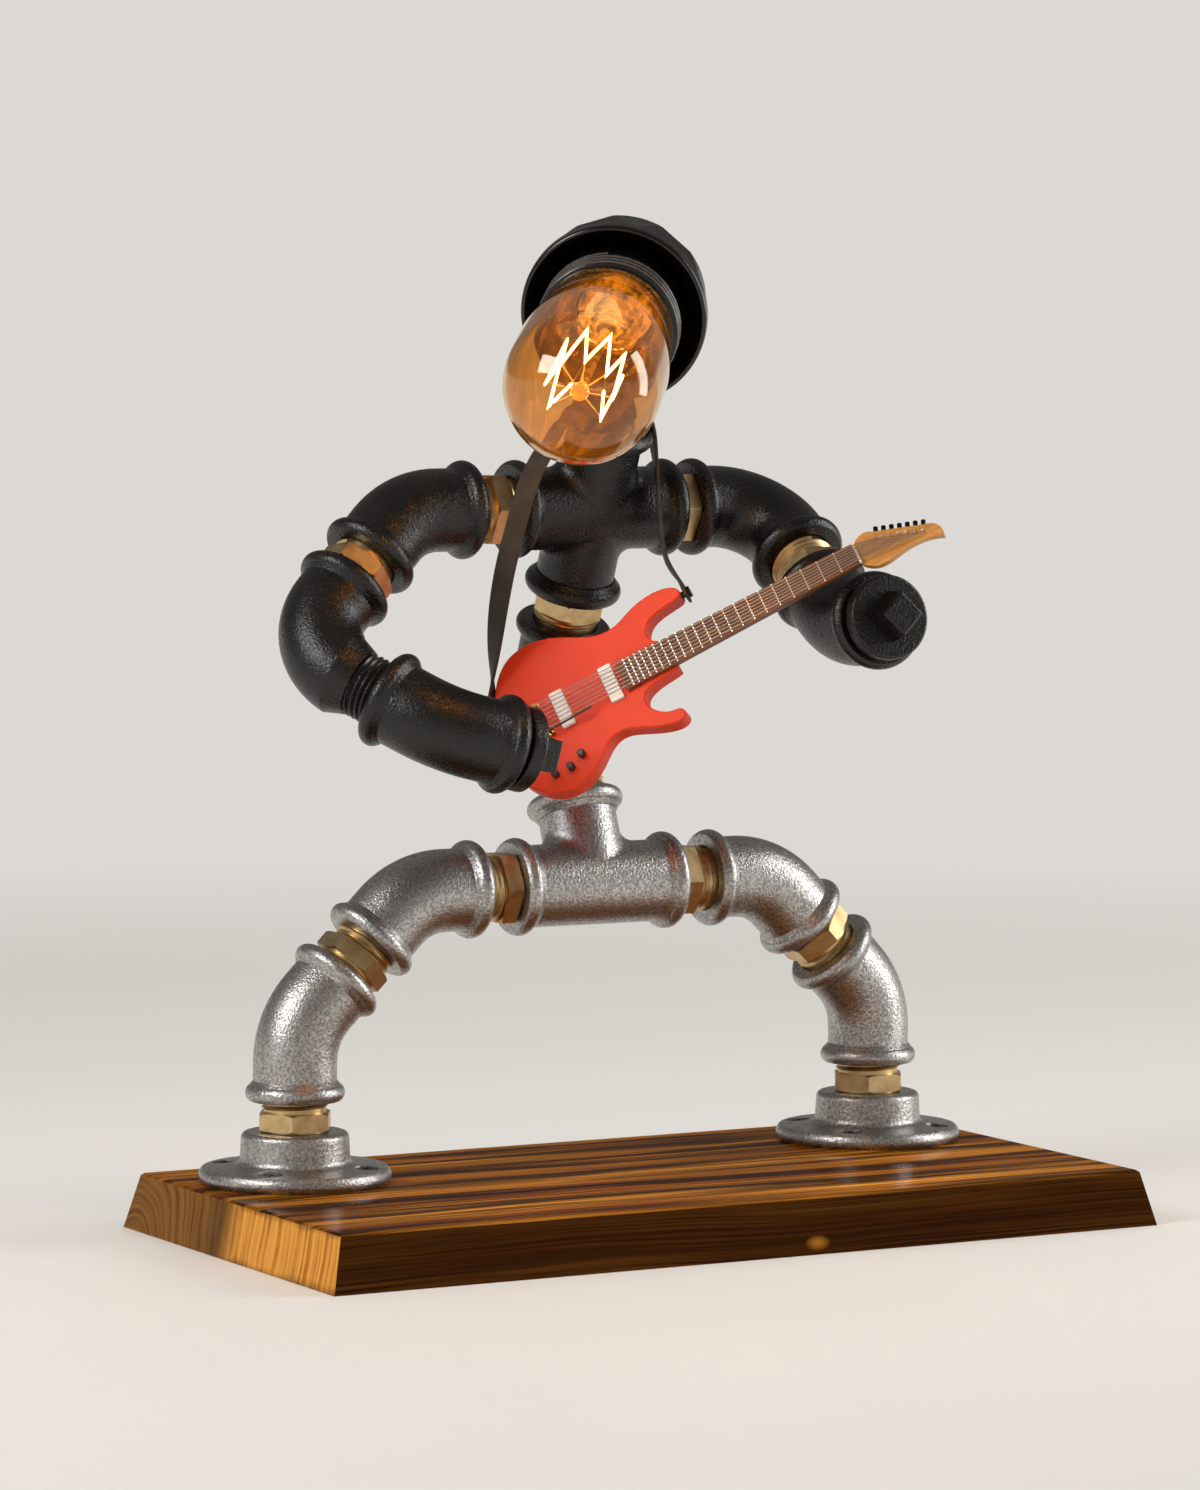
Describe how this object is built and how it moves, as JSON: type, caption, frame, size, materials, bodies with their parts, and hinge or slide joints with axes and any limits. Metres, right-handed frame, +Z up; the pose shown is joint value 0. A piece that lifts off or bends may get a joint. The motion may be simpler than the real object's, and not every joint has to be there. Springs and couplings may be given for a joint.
{
  "type": "table lamp",
  "caption": "Table lamp in the shape of a guitarist built from threaded pipe fittings on a wooden board, with a screw-in bulb in a cap for a face.",
  "frame": {"origin": "middle of the wooden board's underside, on the table", "axes": "+Z up, -Y towards the side that the figure faces, X along the board from its strumming hand to its fretting hand"},
  "size_m": [0.2858, 0.1911, 0.3116],
  "materials": {
    "burnt_pine": "satin varnish over scorched grain",
    "galvanised_iron": "hot-dip zinc, sparkling grain",
    "black_iron": "satin black oiled casting",
    "brass": "turned, semi-bright",
    "zinc_screw": "zinc plated",
    "red_lacquer": "orange-red satin lacquer",
    "maple": "satin lacquer",
    "brown_fretboard": "oiled",
    "nickel": "bright plated",
    "white_plastic": "gloss",
    "gold_plate": "gold plated",
    "black_plastic": "semi-gloss moulded",
    "brown_leather": "matt, worn",
    "lead_sheath": "matt sheath",
    "black_rubber": "matt",
    "amber_glass": "clear amber tint, glossy",
    "clear_glass": "clear, glossy",
    "brass_cap": "stamped",
    "cap_insulator": "black vitreous",
    "glowing_filament": "glowing"
  },
  "bodies": {
    "figure": {"base_front_plank": "burnt_pine", "base_rear_plank": "burnt_pine", "cable_gland": "black_rubber", "chest_cross": "black_iron", "fret_shoulder_nipple": "brass", "guitar_body": "red_lacquer", "guitar_bridge": "gold_plate", "guitar_fretboard": "brown_fretboard", "guitar_frets": "nickel", "guitar_knobs": "black_plastic", "guitar_neck": "maple", "guitar_nut": "white_plastic", "guitar_pickups": "white_plastic", "guitar_strings": "nickel", "guitar_tremolo_arm": "nickel", "guitar_tuners": "nickel", "hip_tee": "galvanised_iron", "lead_lower": "lead_sheath", "left_ankle_nipple": "brass", "left_flange_screws": "zinc_screw", "left_floor_flange": "galvanised_iron", "left_hip_nipple": "brass", "left_knee_nipple": "brass", "left_shin_elbow": "galvanised_iron", "left_thigh_elbow": "galvanised_iron", "neck_nipple": "black_iron", "right_ankle_nipple": "brass", "right_flange_screws": "zinc_screw", "right_floor_flange": "galvanised_iron", "right_hip_nipple": "brass", "right_knee_nipple": "brass", "right_shin_elbow": "galvanised_iron", "right_thigh_elbow": "galvanised_iron", "strap": "brown_leather", "strap_pins": "nickel", "strum_shoulder_nipple": "brass", "waist_elbow": "black_iron", "waist_lower_nipple": "brass", "waist_upper_nipple": "brass"},
    "strum_arm": {"strum_arm_nipple": "brass", "strum_forearm_elbow": "black_iron", "strum_hand_plug": "black_iron", "strum_shoulder_elbow": "black_iron", "strum_street_elbow": "black_iron"},
    "fret_arm": {"fret_arm_nipple": "brass", "fret_forearm_elbow": "black_iron", "fret_hand_plug": "black_iron", "fret_shoulder_elbow": "black_iron"},
    "head": {"hat_cap": "black_iron", "lamp_holder": "black_plastic", "lead_upper": "lead_sheath", "neck_elbow": "black_iron"},
    "bulb": {"bulb_contact": "brass_cap", "bulb_filament": "glowing_filament", "bulb_glass": "amber_glass", "bulb_insulator": "cap_insulator", "bulb_screw_cap": "brass_cap", "bulb_stem": "clear_glass", "bulb_support_wires": "nickel"}
  },
  "joints": [
    {"name": "strum_arm_swing", "type": "hinge", "parent": "figure", "child": "strum_arm", "pos_m": [-0.044, 0.03259, 0.22185], "axis": [-1, 0, 0], "range_deg": [0, 45]},
    {"name": "fret_arm_swing", "type": "hinge", "parent": "figure", "child": "fret_arm", "pos_m": [0.0327, 0.03259, 0.22185], "axis": [1, 0, 0], "range_deg": [0, 30]},
    {"name": "head_swivel", "type": "hinge", "parent": "figure", "child": "head", "pos_m": [-0.0018, -0.00032, 0.30098], "axis": [0, -0.384, 0.9233], "range_deg": [-35, 35]},
    {"name": "bulb_removal", "type": "slide", "parent": "head", "child": "bulb", "axis": [-0.5793, -0.7526, -0.313], "range_m": [0, 0.04]}
  ]
}
